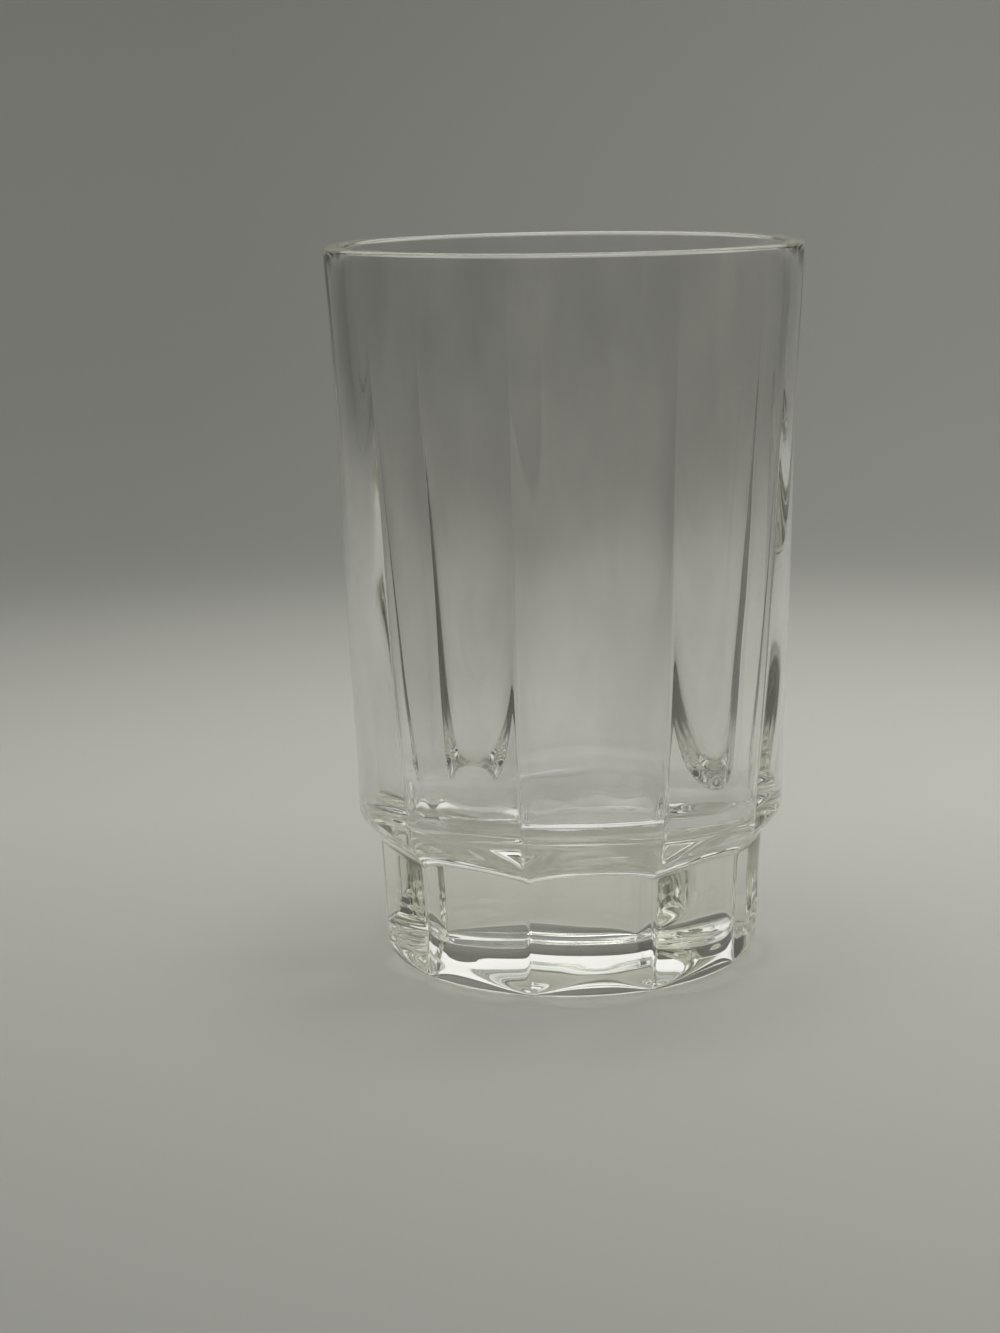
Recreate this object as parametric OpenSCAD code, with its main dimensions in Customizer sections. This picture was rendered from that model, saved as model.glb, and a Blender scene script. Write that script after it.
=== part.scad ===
// Stacking juice glass pressed from clear glass, standing on z = 0 with its axis on Z.

/* [Overall] */
// Height from the standing surface to the top of the lip
height = 100; // [85:1:130]
// Outside diameter across the lip
rim_d = 65.5; // [63:0.5:72]
// Thickness of the glass at the lip
lip_wall = 2.6; // [2:0.1:3.6]

/* [Body] */
// Number of bulging upright panels round the body and the foot
panel_count = 9; // [8:1:12]
// Way the middle of one panel faces, measured from +X
panel_turn = -83; // [-180:1:180]
// Diameter over the panels just above the stacking step
body_d = 59.6; // [57:0.2:62]
// Diameter over the panels where the wall begins to flare to the lip
flare_d = 63; // [61:0.2:64]
// Height at which the wall begins to flare to the lip
flare_h = 78; // [70:1:82]
// Depth of the valleys between the panels at the stacking step
body_valley = 2.5; // [1.5:0.1:3]
// How far the valleys run clear of the lip's outside, so that they fade out below it
valley_runout = 0.3; // [0.2:0.1:1]
// Radius of a panel across its width, as a share of half its width at the lip
body_round_share = 1.065; // [1.04:0.005:1.2]

/* [Stacking step and foot] */
// Height of the stacking step's upper edge at the middle of a panel
step_h = 21.4; // [18:0.2:25]
// Rise of the step's slanting underside per millimetre of overhang
step_slope = 0.96; // [0.7:0.02:1.3]
// Diameter over the foot's panels below the step
foot_d = 54.2; // [52:0.2:56]
// Diameter over the foot's panels above the heel
heel_d = 52.8; // [51:0.2:54]
// Depth of the valleys between the foot's panels
foot_valley = 2.0; // [1:0.1:2.6]
// Radius of a foot panel across its width, as a share of half its width
foot_round_share = 1.29; // [1.15:0.01:1.5]
// Radius of the rounded heel at the bottom edge
heel_r = 4.4; // [2:0.1:4.5]
// Diameter of the hollow in the underside, inside the standing ring
punt_d = 37.2; // [30:0.2:38]
// Depth of that hollow
punt_depth = 2.8; // [0.5:0.1:3.5]

/* [Inside] */
// Thickness of the wall at the valleys, just above the stacking step
valley_wall = 1.6; // [1.2:0.1:3]
// Height of the middle of the dished floor above the standing surface
floor_h = 15; // [12:0.5:17]
// How far the dished floor rises from its middle to the lowest point of its corner
floor_rise = 4.8; // [2:0.1:7]
// Radius of the corner between the inside wall and the floor
floor_corner_r = 6; // [3:0.5:9]

/* [Hidden] */
$fn = 96;

panel_step = 360 / panel_count;
lip_r = lip_wall / 2;
rim_r = rim_d / 2;
lip_centre_r = rim_r - lip_r;
lip_centre_h = height - lip_r;
lip_inner_r = rim_r - lip_wall;
body_r = body_d / 2;
foot_r = foot_d / 2;
heel_top_r = heel_d / 2;

// Foot of the step's cone, well inside the foot so that the two solids overlap
cone_low_r = foot_r - 2 * foot_valley;
cone_low_h = step_h - (body_r - cone_low_r) * step_slope;

// Valleys of the body, from the step up to the lip, and the columns that they lie between
body_valley_r = body_r - body_valley;
body_valley_h = step_h - body_valley * step_slope;
lip_valley_r = rim_r + valley_runout;
body_column_r = lip_valley_r * sin(panel_step / 2) * body_round_share;

// Valleys of the foot, from the heel up to the step, and the columns that they lie between
foot_valley_r = foot_r - foot_valley;
foot_valley_h = step_h - (body_r - foot_valley_r) * step_slope;
heel_valley_r = heel_top_r - foot_valley;
foot_column_r = foot_valley_r * sin(panel_step / 2) * foot_round_share;

// Columns run this far past both ends of the glass, so that their own ends lie outside it
column_overrun = height;
column_length = height + 2 * column_overrun;

// Inside wall: from the lip down to the flare, then straight to the rounded corner of the floor
flare_inner_r = flare_d / 2 - lip_wall;
well_r = body_valley_r - valley_wall;
corner_centre_h = floor_h + floor_rise + floor_corner_r;
wall_lean = atan2(flare_inner_r - well_r, flare_h - corner_centre_h);
corner_centre_r = well_r - floor_corner_r * cos(wall_lean);
corner_meet_h = corner_centre_h - floor_corner_r * sin(wall_lean);

// Dish of the floor: the sphere that touches the corner all round and the middle of the floor
corner_rise = corner_centre_h - floor_h;
dish_r = (pow(corner_centre_r, 2) + pow(corner_rise, 2) - pow(floor_corner_r, 2)) / (2 * floor_rise);
dish_meet_share = dish_r / (dish_r - floor_corner_r);
dish_meet_r = corner_centre_r * dish_meet_share;

// Radius of the sphere whose cap hollows the underside
punt_sphere_r = (pow(punt_d / 2, 2) + pow(punt_depth, 2)) / (2 * punt_depth);

// Round solid turned from the outline of the body, from inside the foot to the lip
module body_blank() {
    rotate_extrude()
        polygon([
            [0, cone_low_h], [cone_low_r, cone_low_h], [body_r, step_h], [flare_d / 2, flare_h],
            [rim_r, lip_centre_h], [0, lip_centre_h]
        ]);
}

// Round solid turned from the outline of the foot, with its rounded heel
module foot_blank() {
    rotate_extrude() {
        polygon([
            [0, 0], [heel_top_r - heel_r, 0], [heel_top_r - heel_r, heel_r], [heel_top_r, heel_r],
            [foot_r, step_h], [0, step_h]
        ]);
        intersection() {
            translate([heel_top_r - heel_r, heel_r])
                circle(r = heel_r);
            square([heel_top_r, heel_r]);
        }
    }
}

// Distance from the axis to a column's centre, so that neighbours meet at valley_r
function centre_at(valley_r, column_r) =
    valley_r * cos(panel_step / 2) - sqrt(pow(column_r, 2) - pow(valley_r * sin(panel_step / 2), 2));

// Ring of leaning round columns; neighbours meet in valleys from low_r at low_h to high_r at high_h
module columns(column_r, low_r, low_h, high_r, high_h) {
    low_centre = centre_at(low_r, column_r);
    lean = atan2(centre_at(high_r, column_r) - low_centre, high_h - low_h);
    for (k = [0 : panel_count - 1])
        rotate([0, 0, panel_turn + k * panel_step])
            translate([low_centre, 0, low_h])
                rotate([0, lean, 0])
                    translate([0, 0, -column_overrun])
                        cylinder(h = column_length, r = column_r);
    translate([0, 0, -column_overrun])
        cylinder(h = column_length, r = low_centre);
}

// Hollow for the drink: flared mouth, straight taper, rounded corner, dished floor
module bowl() {
    rotate_extrude() {
        polygon([
            [0, corner_meet_h], [well_r, corner_meet_h], [flare_inner_r, flare_h],
            [lip_inner_r, lip_centre_h], [lip_inner_r, height + lip_r], [0, height + lip_r]
        ]);
        translate([corner_centre_r, corner_centre_h])
            circle(r = floor_corner_r);
        intersection() {
            translate([0, floor_h + dish_r])
                circle(r = dish_r);
            square([dish_meet_r, corner_meet_h]);
        }
    }
}

module tumbler() {
    color([0.86, 0.9, 0.88, 0.5])
        union() {
            difference() {
                union() {
                    intersection() {
                        body_blank();
                        columns(body_column_r, body_valley_r, body_valley_h, lip_valley_r, lip_centre_h);
                    }
                    intersection() {
                        foot_blank();
                        columns(foot_column_r, heel_valley_r, heel_r, foot_valley_r, foot_valley_h);
                    }
                }
                bowl();
                translate([0, 0, punt_depth - punt_sphere_r])
                    sphere(r = punt_sphere_r);
            }
            rotate_extrude()
                translate([lip_centre_r, lip_centre_h])
                    circle(r = lip_r);
        }
}

tumbler();
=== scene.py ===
"""Looks of the juice glass: one clear pressed tumbler on a pale sweep, seen as in the photograph."""
import math

import bpy
import numpy as np
from mathutils import Matrix, Vector


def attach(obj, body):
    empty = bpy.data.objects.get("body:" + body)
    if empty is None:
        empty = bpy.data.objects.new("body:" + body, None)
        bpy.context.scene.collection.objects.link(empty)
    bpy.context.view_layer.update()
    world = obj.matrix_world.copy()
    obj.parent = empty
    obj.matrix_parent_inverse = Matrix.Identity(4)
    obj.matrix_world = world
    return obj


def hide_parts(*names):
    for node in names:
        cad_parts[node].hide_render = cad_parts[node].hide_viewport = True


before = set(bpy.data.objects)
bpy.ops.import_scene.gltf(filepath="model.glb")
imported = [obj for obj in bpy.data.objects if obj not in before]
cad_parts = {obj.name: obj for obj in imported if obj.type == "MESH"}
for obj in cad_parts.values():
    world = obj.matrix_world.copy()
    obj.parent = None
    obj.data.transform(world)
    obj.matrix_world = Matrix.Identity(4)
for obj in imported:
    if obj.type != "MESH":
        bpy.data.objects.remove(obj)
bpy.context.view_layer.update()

# Metres in a millimetre; the sizes of the glass below are in millimetres, those of the stage in metres
MM = 0.001

# Height and number of panels, as in the part's source
HEIGHT = 100.0
PANELS = 9
# Middle of the front panel in degrees, from the camera's side towards +X
FRONT_PANEL_DEG = 6.9

# Body: radius over the panels by height
CREST_Z = (10.0, 21.4, 29.5, 36.5, 46.0, 54.0, 65.0, 78.0, 92.0, 98.7)
CREST_R = (29.55, 29.8, 30.0, 30.3, 30.7, 30.95, 31.2, 31.55, 32.35, 32.7)
# Valleys between the panels by height: how deep they are, and the power by which a panel drops to them
VALLEY_Z = (10.0, 19.0, 30.0, 40.0, 50.0, 60.0, 70.0, 80.0, 100.0)
VALLEY_DEPTH = (2.6, 2.5, 1.87, 1.4, 1.1, 0.77, 0.45, 0.15, 0.0)
PANEL_POWER = (3.0, 3.0, 3.0, 3.5, 4.2, 5.5, 8.0, 12.0, 12.0)

# Foot: radius over its panels by height, depth of its valleys, power of its panels
FOOT_Z = (0.0, 6.4, 12.0, 19.0, 25.0)
FOOT_R = (26.35, 26.5, 26.7, 27.1, 27.4)
FOOT_VALLEY = 2.0
FOOT_PANEL_POWER = 2.2
# Stacking step: height and radius of its edge, rise of its slanting underside per millimetre of overhang
STEP_H = 21.35
STEP_R = 29.8
STEP_SLOPE = 0.956
# Bottom: radius of the heel's rounding, radius of the foot above it, inner radius of the standing ring,
# depth of the hollow inside that ring
HEEL_R = 4.4
HEEL_OUT_R = FOOT_R[1]
RING_IN_R = 18.6
PUNT_DEPTH = 2.8

# Widths over which the pressed edges are rounded; the valley's is a share of its depth
STEP_EDGE_SOFT = 1.0
STEP_INNER_SOFT = 1.0
HEEL_SOFT = 0.6
VALLEY_SOFT = 0.045

# Lip: height of its rounding, height at which that begins, radius inside it
LIP_RISE = 0.7
LIP_BASE_H = HEIGHT - LIP_RISE
INNER_LIP_R = 30.15
# Inside: radius of the wall near the floor and the height at which it has that radius, height of the middle
# of the floor, radius of the floor's corner and of its dish, height of the dish's centre
WELL_R = 25.5
WELL_H = 22.0
FLOOR_H = 15.0
FLOOR_CORNER = 6.0
FLOOR_DISH_R = 48.9
DISH_CENTRE_H = FLOOR_H + FLOOR_DISH_R

# Mesh: upright columns per panel, and how much closer they stand at the valleys
COLUMNS_PER_PANEL = 44
COLUMN_CROWDING = 1.7
# Mesh: rows of the underside, then of the outside up to the lip, then of the inside down to the floor
PUNT_ROWS = 16
RING_ROWS = 6
HEEL_ROWS = 22
FOOT_ROWS = 18
INNER_EDGE_ROWS = 25
STEP_ROWS = 5
OUTER_EDGE_ROWS = 27
BODY_ROWS = 50
LIP_ROWS = 25
WELL_ROWS = 14
CORNER_ROWS = 30
DISH_ROWS = 22
# Angle of the heel's rounding, in radians, at which its rows begin
HEEL_START = 0.05
# How far the close rows at the step's edges reach below and above them, and the largest share of the
# height between the two edges that the rows at one of them take up
INNER_EDGE_REACH = 1.0
OUTER_EDGE_BELOW = 1.0
OUTER_EDGE_ABOVE = 1.1
EDGE_SHARE = 0.45
# Heights between which the step's inner and outer edges are sought, and how often a search halves its range
INNER_EDGE_RANGE = (10.0, 22.0)
OUTER_EDGE_RANGE = (12.0, 30.0)
HALVINGS = 60

# Glass: refraction, and the tint and density of its body
GLASS_IOR = 1.52
BODY_TINT = (0.95, 0.955, 0.84, 1.0)
BODY_DENSITY = 9.0
# Handling haze: clearness by noise level, tint, and its noise: stretch along the height, scale, detail
HAZE_STOPS = ((0.0, 0.84), (0.40, 0.89), (0.58, 0.985), (1.0, 0.995))
HAZE_TINT = (1.0, 0.998, 0.99)
HAZE_NOISE = (0.35, 120.0, 5.0)
# Smears: noise levels between which they set in, roughness at both, and their noise
SMEAR_FROM = (0.45, 0.75)
SMEAR_ROUGHNESS = (0.0, 0.05)
SMEAR_NOISE = (1.0, 60.0, 2.0)
# Pressing waves: height in metres, and their noise
WAVE_HEIGHT = 0.00008
WAVE_NOISE = (0.5, 70.0, 1.0)

# Stage: radius of the flat floor and of the curve round it, top of the wall, film of air under the glass
FLOOR_RADIUS = 0.34
SWEEP_RADIUS = 0.50
WALL_TOP = 0.42
FLOOR_GAP = 0.0001
# Mesh of the stage: rings of the floor, rings of a full quarter of the curve, points on each ring
FLOOR_RINGS = 35
SWEEP_RINGS = 49
STAGE_SIDES = 128
# Paper: grey by the distance along the floor and up the wall, partly its own grey and partly painted shade
# that darkens it towards the edge of the floor and up the wall; tint, roughness and gloss
PAPER_AT = (0.0, 0.17, 0.26, 0.36, 0.48, 0.70, 1.0)
PAPER_GREY_AND_SHADE = (0.66, 0.66, 0.54, 0.375, 0.335, 0.32, 0.26)
PAPER_TINT = (1.0, 0.985, 0.905)
PAPER_ROUGHNESS = 0.9
PAPER_GLOSS = 0.2
# Painted light: gain of the paper's brightness per metre to the right and to the back, with the limits of
# each
PAPER_PAINTED_LIGHT_X, PAPER_PAINTED_LIGHT_X_LIMITS = 1.1, (-0.13, 0.13)
PAPER_PAINTED_LIGHT_Y, PAPER_PAINTED_LIGHT_Y_LIMITS = 1.7, (-0.25, 0.14)
# Painted shade on the paper far out at both sides: where it begins to darken, over what length, and by how
# much
SIDE_SHADE_FROM, SIDE_SHADE_FADE, SIDE_PAINTED_SHADE = 0.22, 0.12, 0.35

# Light of the surroundings by the sine of the height above the horizon
ROOM_STOPS = ((0.0, 0.10), (0.28, 0.12), (0.46, 1.22), (0.70, 1.22), (0.82, 0.27), (1.0, 0.25))
ROOM_TINT = (0.97, 1.0, 0.98)
# Lamp: place, point aimed at, width and height, power
LAMP_PLACE = (0.10, 0.12, 0.95)
LAMP_AIM = (0.0, 0.0, 0.03)
LAMP_SIZE = (0.3, 0.3)
LAMP_POWER = 0.7
# Passes and inner reflections that are followed, as light runs a long way round inside the lip
GLASS_BOUNCES = 32

# Camera fitted to the photograph: focal length in pixels, longer side of the frame in pixels, sensor's size
FOCAL_PX = 2873.0
FRAME_LONG_PX = 1333.0
SENSOR_MM = 36.0
# Camera: nearest distance that it shows, place, and turns in radians
CLIP_START = 0.01
EYE = Vector((0.0, -0.39479, 0.11816))
YAW, PITCH, ROLL = -0.0241, 0.1926, -0.0157


def soft_min(a, b, k):
    """Smaller of a and b, with the corner between them rounded over a width k."""
    h = np.clip(0.5 + 0.5 * (b - a) / k, 0, 1)
    return b * (1 - h) + a * h - k * h * (1 - h)


def soft_max(a, b, k):
    """Larger of a and b, with the corner between them rounded over a width k."""
    return -soft_min(-a, -b, k)


def smooth_curve(z, zs, rs):
    """Smooth line through the points (zs, rs), by cubic pieces with matching slopes."""
    zs, rs = np.asarray(zs, float), np.asarray(rs, float)
    slopes = np.gradient(rs, zs)
    i = np.clip(np.searchsorted(zs, z) - 1, 0, len(zs) - 2)
    h = zs[i + 1] - zs[i]
    t = np.clip((z - zs[i]) / h, 0, 1)
    return ((1 + 2 * t) * (1 - t) ** 2 * rs[i] + t * (1 - t) ** 2 * h * slopes[i]
            + t * t * (3 - 2 * t) * rs[i + 1] + t * t * (t - 1) * h * slopes[i + 1])


def across(t, power):
    """Drop of a panel from its middle (t = 0) to the valley (t = 1), with the valley's bottom rounded."""
    drop = np.abs(t) ** power
    return soft_min(drop, np.full_like(drop, 1 - VALLEY_SOFT), 2 * VALLEY_SOFT) / (1 - VALLEY_SOFT)


def body_r(t, z):
    """Outside radius of the body at t across a panel (-1 to 1) and height z."""
    drop = across(t, smooth_curve(z, VALLEY_Z, PANEL_POWER))
    return smooth_curve(z, CREST_Z, CREST_R) - smooth_curve(z, VALLEY_Z, VALLEY_DEPTH) * drop


def foot_r(t, z):
    """Outside radius of the foot at t across a panel and height z."""
    return smooth_curve(z, FOOT_Z, FOOT_R) - FOOT_VALLEY * across(t, FOOT_PANEL_POWER)


def step_r(z):
    """Radius of the step's slanting underside at height z."""
    return STEP_R + (z - STEP_H) / STEP_SLOPE


def heel_r(z):
    """Radius that the rounded heel allows at height z; above the heel it soon limits nothing."""
    up = np.clip(z, 0, HEEL_R)
    over = np.maximum(z - HEEL_R, 0)
    return HEEL_OUT_R - HEEL_R + np.sqrt(HEEL_R ** 2 - (HEEL_R - up) ** 2) + over


def outer_r(t, z):
    """Whole outside: body above, foot below, step between them, heel at the bottom."""
    body = soft_min(body_r(t, z), step_r(z), STEP_EDGE_SOFT)
    whole = soft_max(body, foot_r(t, z), STEP_INNER_SOFT)
    return soft_min(whole, heel_r(z), HEEL_SOFT)


def crossing(surface_r, t, low, high):
    """Height between low and high at which the step's slant meets surface_r(t, z), by halving."""
    a, b = np.full_like(t, low), np.full_like(t, high)
    for _ in range(HALVINGS):
        m = 0.5 * (a + b)
        over = step_r(m) > surface_r(t, m)
        a, b = np.where(over, a, m), np.where(over, m, b)
    return 0.5 * (a + b)


def panel_angles():
    """Angle and place across its panel of every upright column of the mesh."""
    u = (np.arange(COLUMNS_PER_PANEL) + 0.5) / COLUMNS_PER_PANEL * 2 - 1
    t = np.sign(u) * (1 - (1 - np.abs(u)) ** COLUMN_CROWDING)
    half = math.pi / PANELS
    theta = [math.radians(FRONT_PANEL_DEG) + k * 2 * half + t * half for k in range(PANELS)]
    return np.concatenate(theta), np.tile(t, PANELS)


def between(low, high, count):
    """Heights evenly spaced from low to high, without those two."""
    return [low + (high - low) * f for f in np.linspace(0, 1, count)[1:-1]]


def outside_rows(t):
    """Rows of (radius, height) from the heel up to the lip, following the scallops of the step."""
    z_in = crossing(foot_r, t, *INNER_EDGE_RANGE)
    z_out = crossing(body_r, t, *OUTER_EDGE_RANGE)
    above_in = np.minimum(INNER_EDGE_REACH, (z_out - z_in) * EDGE_SHARE)
    below_out = np.minimum(OUTER_EDGE_BELOW, (z_out - z_in) * EDGE_SHARE)
    heel = HEEL_R * (1 - np.cos(np.linspace(HEEL_START, math.pi / 2, HEEL_ROWS)))
    rows = [np.full_like(t, z) for z in heel]
    rows += between(heel[-1], z_in - INNER_EDGE_REACH, FOOT_ROWS)
    for d in np.linspace(-INNER_EDGE_REACH, INNER_EDGE_REACH, INNER_EDGE_ROWS):
        rows.append(z_in + (d if d < 0 else d / INNER_EDGE_REACH * above_in))
    rows += between(z_in + above_in, z_out - below_out, STEP_ROWS)
    for d in np.linspace(-OUTER_EDGE_BELOW, OUTER_EDGE_ABOVE, OUTER_EDGE_ROWS):
        rows.append(z_out + (d if d >= 0 else d / OUTER_EDGE_BELOW * below_out))
    rows += between(z_out + OUTER_EDGE_ABOVE, LIP_BASE_H, BODY_ROWS)
    rows.append(np.full_like(t, LIP_BASE_H))
    return [(outer_r(t, z), z) for z in rows]


def lip_rows(t, start_r):
    """Rows over the rounded lip, from the outside to the inside."""
    mid, half = 0.5 * (start_r + INNER_LIP_R), 0.5 * (start_r - INNER_LIP_R)
    angles = np.linspace(0, math.pi, LIP_ROWS)[1:]
    return [(mid + half * math.cos(a), np.full_like(t, LIP_BASE_H + LIP_RISE * math.sin(a))) for a in angles]


def floor_corner(lean):
    """Centre of the corner circle, which touches the leaning wall from inside and the floor's dish."""
    reach = FLOOR_DISH_R - FLOOR_CORNER
    low, high = FLOOR_H, min(LIP_BASE_H, DISH_CENTRE_H)
    for _ in range(HALVINGS):
        corner_h = 0.5 * (low + high)
        wall_r = WELL_R + (corner_h - WELL_H) * math.tan(lean)
        corner_r = wall_r - FLOOR_CORNER / math.cos(lean)
        if math.hypot(corner_r, DISH_CENTRE_H - corner_h) > reach:
            low = corner_h
        else:
            high = corner_h
    return corner_r, corner_h


def inside_rows(t):
    """Rows down the round inside wall, through the corner, over the dish, to just short of its middle."""
    lean = math.atan2(INNER_LIP_R - WELL_R, LIP_BASE_H - WELL_H)
    corner_r, corner_h = floor_corner(lean)
    end = -math.acos(corner_r / math.hypot(corner_r, DISH_CENTRE_H - corner_h))
    meet_r = corner_r + FLOOR_CORNER * math.cos(lean)
    meet_h = corner_h - FLOOR_CORNER * math.sin(lean)
    rows = []
    for f in np.linspace(0, 1, WELL_ROWS)[1:]:
        rows.append((INNER_LIP_R + (meet_r - INNER_LIP_R) * f, LIP_BASE_H + (meet_h - LIP_BASE_H) * f))
    for a in np.linspace(-lean, end, CORNER_ROWS)[1:]:
        rows.append((corner_r + FLOOR_CORNER * math.cos(a), corner_h + FLOOR_CORNER * math.sin(a)))
    for f in np.linspace(1, 0, DISH_ROWS)[1:-1]:
        r = FLOOR_DISH_R * math.cos(end) * f
        rows.append((r, DISH_CENTRE_H - math.sqrt(FLOOR_DISH_R ** 2 - r * r)))
    return [(np.full_like(t, r), np.full_like(t, z)) for r, z in rows]


def underside_rows(t, heel_edge_r):
    """Rows across the underside, from the heel over the standing ring to near the middle of the hollow."""
    rows = []
    for f in np.linspace(0, 1, RING_ROWS)[1:]:
        rows.append((heel_edge_r + (RING_IN_R - heel_edge_r) * f, np.zeros_like(t)))
    for f in np.linspace(1, 0, PUNT_ROWS)[1:-1]:
        rows.append((np.full_like(t, RING_IN_R * f), np.full_like(t, PUNT_DEPTH * (1 - f * f))))
    return rows


def ring_faces(count, n):
    """Quads between neighbouring rings of n points, and a fan of triangles to the point at each end."""
    j = np.arange(n)
    k = (j + 1) % n
    faces = []
    for i in range(count - 1):
        faces += np.stack([i * n + j, i * n + k, (i + 1) * n + k, (i + 1) * n + j], -1).tolist()
    last, bottom, floor = (count - 1) * n, count * n, count * n + 1
    faces += np.stack([k, j, np.full(n, bottom)], -1).tolist()
    faces += np.stack([last + j, last + k, np.full(n, floor)], -1).tolist()
    return faces


def smooth_mesh(name, points, faces):
    """Mesh of these points and faces, shaded smooth."""
    mesh = bpy.data.meshes.new(name)
    mesh.from_pydata(points, [], faces)
    mesh.validate()
    mesh.polygons.foreach_set("use_smooth", np.ones(len(mesh.polygons), bool))
    mesh.update()
    return mesh


def tumbler_mesh():
    """Closed mesh of the whole glass: from the hollow of the underside over the lip to the floor."""
    theta, t = panel_angles()
    up = outside_rows(t)
    rings = underside_rows(t, up[0][0])[::-1] + up + lip_rows(t, up[-1][0]) + inside_rows(t)
    r, z = np.array([a for a, _ in rings]), np.array([b for _, b in rings])
    points = np.stack([r * np.sin(theta), -r * np.cos(theta), z], -1).reshape(-1, 3)
    points = np.vstack([points, [[0, 0, PUNT_DEPTH], [0, 0, FLOOR_H]]]) * MM
    return smooth_mesh("tumbler_glass", points.tolist(), ring_faces(len(rings), len(theta)))


def add(name, mesh, material):
    """Puts a mesh into the scene under this name and with this material."""
    obj = bpy.data.objects.new(name, mesh)
    bpy.context.scene.collection.objects.link(obj)
    obj.data.materials.append(material)
    return obj


def node_material(name):
    """New material with an empty node tree and its output node."""
    material = bpy.data.materials.new(name)
    material.use_nodes = True
    nodes = material.node_tree.nodes
    nodes.clear()
    return material, nodes, material.node_tree.links, nodes.new("ShaderNodeOutputMaterial")


def set_ramp(ramp, stops, tint):
    """Gives a colour ramp these (place, grey) stops, softly blended and with a tint."""
    ramp.color_ramp.interpolation = "B_SPLINE"
    while len(ramp.color_ramp.elements) < len(stops):
        ramp.color_ramp.elements.new(0.5)
    for stop, (at, grey) in zip(ramp.color_ramp.elements, stops):
        stop.position = at
        stop.color = tuple(grey * c for c in tint) + (1,)


def glass_noise(nodes, links, stretch, scale, detail):
    """Even noise over the glass, stretched along its height."""
    place = nodes.new("ShaderNodeTexCoord")
    mapping = nodes.new("ShaderNodeMapping")
    mapping.inputs["Scale"].default_value = (1.0, 1.0, stretch)
    noise = nodes.new("ShaderNodeTexNoise")
    noise.inputs["Scale"].default_value = scale
    noise.inputs["Detail"].default_value = detail
    links.new(place.outputs["Object"], mapping.inputs["Vector"])
    links.new(mapping.outputs["Vector"], noise.inputs["Vector"])
    return noise.outputs["Fac"]


def haze_colour(nodes, links):
    """Colour that the surface lets through, dimmer where it was handled."""
    haze = nodes.new("ShaderNodeValToRGB")
    set_ramp(haze, HAZE_STOPS, HAZE_TINT)
    links.new(glass_noise(nodes, links, *HAZE_NOISE), haze.inputs["Fac"])
    return haze.outputs["Color"]


def smear_roughness(nodes, links):
    """Roughness of the surface, a little higher in smears."""
    smear = nodes.new("ShaderNodeMapRange")
    smear.inputs["From Min"].default_value, smear.inputs["From Max"].default_value = SMEAR_FROM
    smear.inputs["To Min"].default_value, smear.inputs["To Max"].default_value = SMEAR_ROUGHNESS
    links.new(glass_noise(nodes, links, *SMEAR_NOISE), smear.inputs["Value"])
    return smear.outputs["Result"]


def wave_normal(nodes, links):
    """Normal of the surface with the faint waves that pressing leaves."""
    waves = nodes.new("ShaderNodeBump")
    waves.inputs["Distance"].default_value = WAVE_HEIGHT
    links.new(glass_noise(nodes, links, *WAVE_NOISE), waves.inputs["Height"])
    return waves.outputs["Normal"]


def glass_material():
    """Clear soda-lime glass with a trace of yellow-green, faint pressing waves and handling haze."""
    material, nodes, links, out = node_material("clear_pressed_glass")
    shader = nodes.new("ShaderNodeBsdfPrincipled")
    shader.inputs["Transmission Weight"].default_value = 1.0
    shader.inputs["IOR"].default_value = GLASS_IOR
    links.new(haze_colour(nodes, links), shader.inputs["Base Color"])
    links.new(smear_roughness(nodes, links), shader.inputs["Roughness"])
    links.new(wave_normal(nodes, links), shader.inputs["Normal"])
    body = nodes.new("ShaderNodeVolumeAbsorption")
    body.inputs["Color"].default_value = BODY_TINT
    body.inputs["Density"].default_value = BODY_DENSITY
    links.new(shader.outputs["BSDF"], out.inputs["Surface"])
    links.new(body.outputs["Volume"], out.inputs["Volume"])
    return material


def stage_profile():
    """Points (radius, height, length so far) from the middle of the floor to the top of the wall."""
    points = [(FLOOR_RADIUS * f, 0.0) for f in np.linspace(0, 1, FLOOR_RINGS)]
    for a in np.linspace(0, math.pi / 2, SWEEP_RINGS)[1:]:
        point = (FLOOR_RADIUS + SWEEP_RADIUS * math.sin(a), SWEEP_RADIUS * (1 - math.cos(a)))
        if point[1] <= WALL_TOP:
            points.append(point)
    steps = [0.0] + [math.dist(a, b) for a, b in zip(points, points[1:])]
    return [(r, z, s) for (r, z), s in zip(points, np.cumsum(steps))]


def paper_colour_with_painted_light(x, y, length):
    """Colour of the paper with painted light and shade: grey by length with painted shade outwards and up the
    wall, painted light to the right and back, painted shade far out at both sides.
    """
    # Painted light: the paper is made brighter to the right and to the back
    lean = np.clip(PAPER_PAINTED_LIGHT_X * x, *PAPER_PAINTED_LIGHT_X_LIMITS) + np.clip(PAPER_PAINTED_LIGHT_Y * y, *PAPER_PAINTED_LIGHT_Y_LIMITS)
    # Painted shade: the paper is made darker far out at both sides
    side_shade = np.clip((np.abs(x) - SIDE_SHADE_FROM) / SIDE_SHADE_FADE, 0, 1)
    # Grey by length: partly the paper's own grey, partly painted shade towards the floor's edge and up the
    # wall
    grey = smooth_curve(length, PAPER_AT, PAPER_GREY_AND_SHADE) * (1 + lean) * (1 - SIDE_PAINTED_SHADE * side_shade)
    return np.stack([grey * c for c in PAPER_TINT] + [np.ones_like(grey)], -1)


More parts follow.
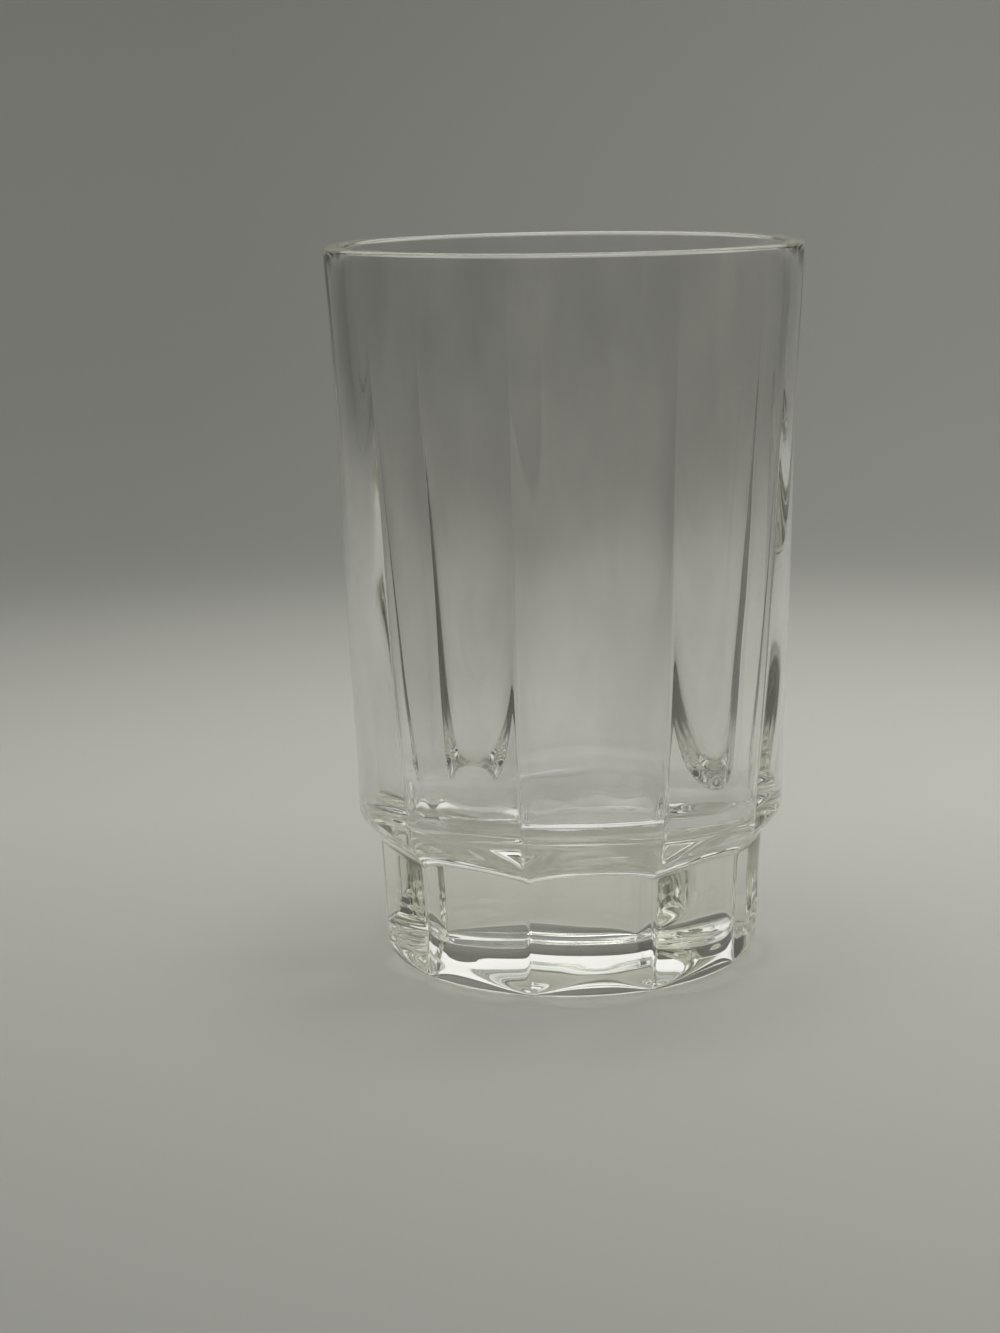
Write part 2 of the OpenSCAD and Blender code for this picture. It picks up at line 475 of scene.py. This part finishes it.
def stage_mesh():
    """Round sweep: a flat floor that curves up into a low wall all round, with its colour, painted light and
    shade included, on its points.
    """
    profile = stage_profile()
    n = STAGE_SIDES
    theta = np.linspace(0, 2 * math.pi, n, endpoint=False)
    points, length = [(0.0, 0.0, -FLOOR_GAP)], [0.0]
    for r, z, s in profile[1:]:
        points += [(r * math.cos(a), r * math.sin(a), z - FLOOR_GAP) for a in theta]
        length += [float(s)] * n
    faces = [(0, 1 + i, 1 + (i + 1) % n) for i in range(n)]
    for row in range(len(profile) - 2):
        a, b = 1 + row * n, 1 + (row + 1) * n
        faces += [(a + i, b + i, b + (i + 1) % n, a + (i + 1) % n) for i in range(n)]
    mesh = smooth_mesh("sweep", points, faces)
    x, y, _ = np.array(points).T
    paper_with_painted_light = paper_colour_with_painted_light(x, y, np.array(length))
    # Paper colour with painted light and shade, kept on the points
    mesh.color_attributes.new("paper_with_painted_light", "FLOAT_COLOR", "POINT").data.foreach_set("color", paper_with_painted_light.ravel())
    return mesh


def sweep_material():
    """Matt pale paper that takes its colour, with painted light and shade, from its points."""
    material, nodes, links, out = node_material("pale_paper")
    # Reads the paper colour with painted light and shade from the points
    paper_with_painted_light = nodes.new("ShaderNodeVertexColor")
    paper_with_painted_light.layer_name = "paper_with_painted_light"
    shader = nodes.new("ShaderNodeBsdfPrincipled")
    shader.inputs["Roughness"].default_value = PAPER_ROUGHNESS
    shader.inputs["Specular IOR Level"].default_value = PAPER_GLOSS
    links.new(paper_with_painted_light.outputs["Color"], shader.inputs["Base Color"])
    links.new(shader.outputs["BSDF"], out.inputs["Surface"])
    return material


def add_lamp():
    """Soft lamp high above the glass, a little to the right and to the back."""
    data = bpy.data.lights.new("top_lamp", "AREA")
    data.shape = "RECTANGLE"
    data.size, data.size_y = LAMP_SIZE
    data.energy = LAMP_POWER
    lamp = bpy.data.objects.new("top_lamp", data)
    lamp.location = LAMP_PLACE
    lamp.rotation_euler = (Vector(LAMP_AIM) - Vector(LAMP_PLACE)).to_track_quat("-Z", "Y").to_euler()
    bpy.context.scene.collection.objects.link(lamp)


def add_room():
    """Soft light from all round, with a bright band above the wall."""
    world = bpy.data.worlds.new("room")
    bpy.context.scene.world = world
    world.use_nodes = True
    nodes, links = world.node_tree.nodes, world.node_tree.links
    place = nodes.new("ShaderNodeTexCoord")
    axes = nodes.new("ShaderNodeSeparateXYZ")
    ramp = nodes.new("ShaderNodeValToRGB")
    set_ramp(ramp, ROOM_STOPS, ROOM_TINT)
    links.new(place.outputs["Generated"], axes.inputs["Vector"])
    links.new(axes.outputs["Z"], ramp.inputs["Fac"])
    links.new(ramp.outputs["Color"], nodes["Background"].inputs["Color"])


def set_light_paths():
    """Lets light pass through and round inside the thick glass often enough, also on its way to the paper."""
    cycles = bpy.context.scene.cycles
    cycles.max_bounces = cycles.transmission_bounces = cycles.glossy_bounces = GLASS_BOUNCES
    cycles.blur_glossy = 0.0


def add_camera():
    """Camera at the photograph's place and angle."""
    forward = Vector((math.sin(YAW) * math.cos(PITCH), math.cos(YAW) * math.cos(PITCH), -math.sin(PITCH)))
    level = Vector((math.cos(YAW), -math.sin(YAW), 0.0))
    above = level.cross(forward)
    right = level * math.cos(ROLL) + above * math.sin(ROLL)
    up = above * math.cos(ROLL) - level * math.sin(ROLL)
    data = bpy.data.cameras.new("camera")
    data.sensor_fit = "AUTO"
    data.sensor_width = SENSOR_MM
    data.lens = FOCAL_PX * SENSOR_MM / FRAME_LONG_PX
    data.clip_start = CLIP_START
    camera = bpy.data.objects.new("camera", data)
    turn = Matrix((right, up, -forward)).transposed()
    camera.matrix_world = Matrix.Translation(EYE) @ turn.to_4x4()
    bpy.context.scene.collection.objects.link(camera)
    bpy.context.scene.camera = camera


tumbler = add("tumbler_glass", tumbler_mesh(), glass_material())
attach(tumbler, "root")
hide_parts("tumbler")

add("sweep", stage_mesh(), sweep_material())
add_lamp()
add_room()
add_camera()
set_light_paths()
bpy.context.scene.view_settings.view_transform = "Standard"
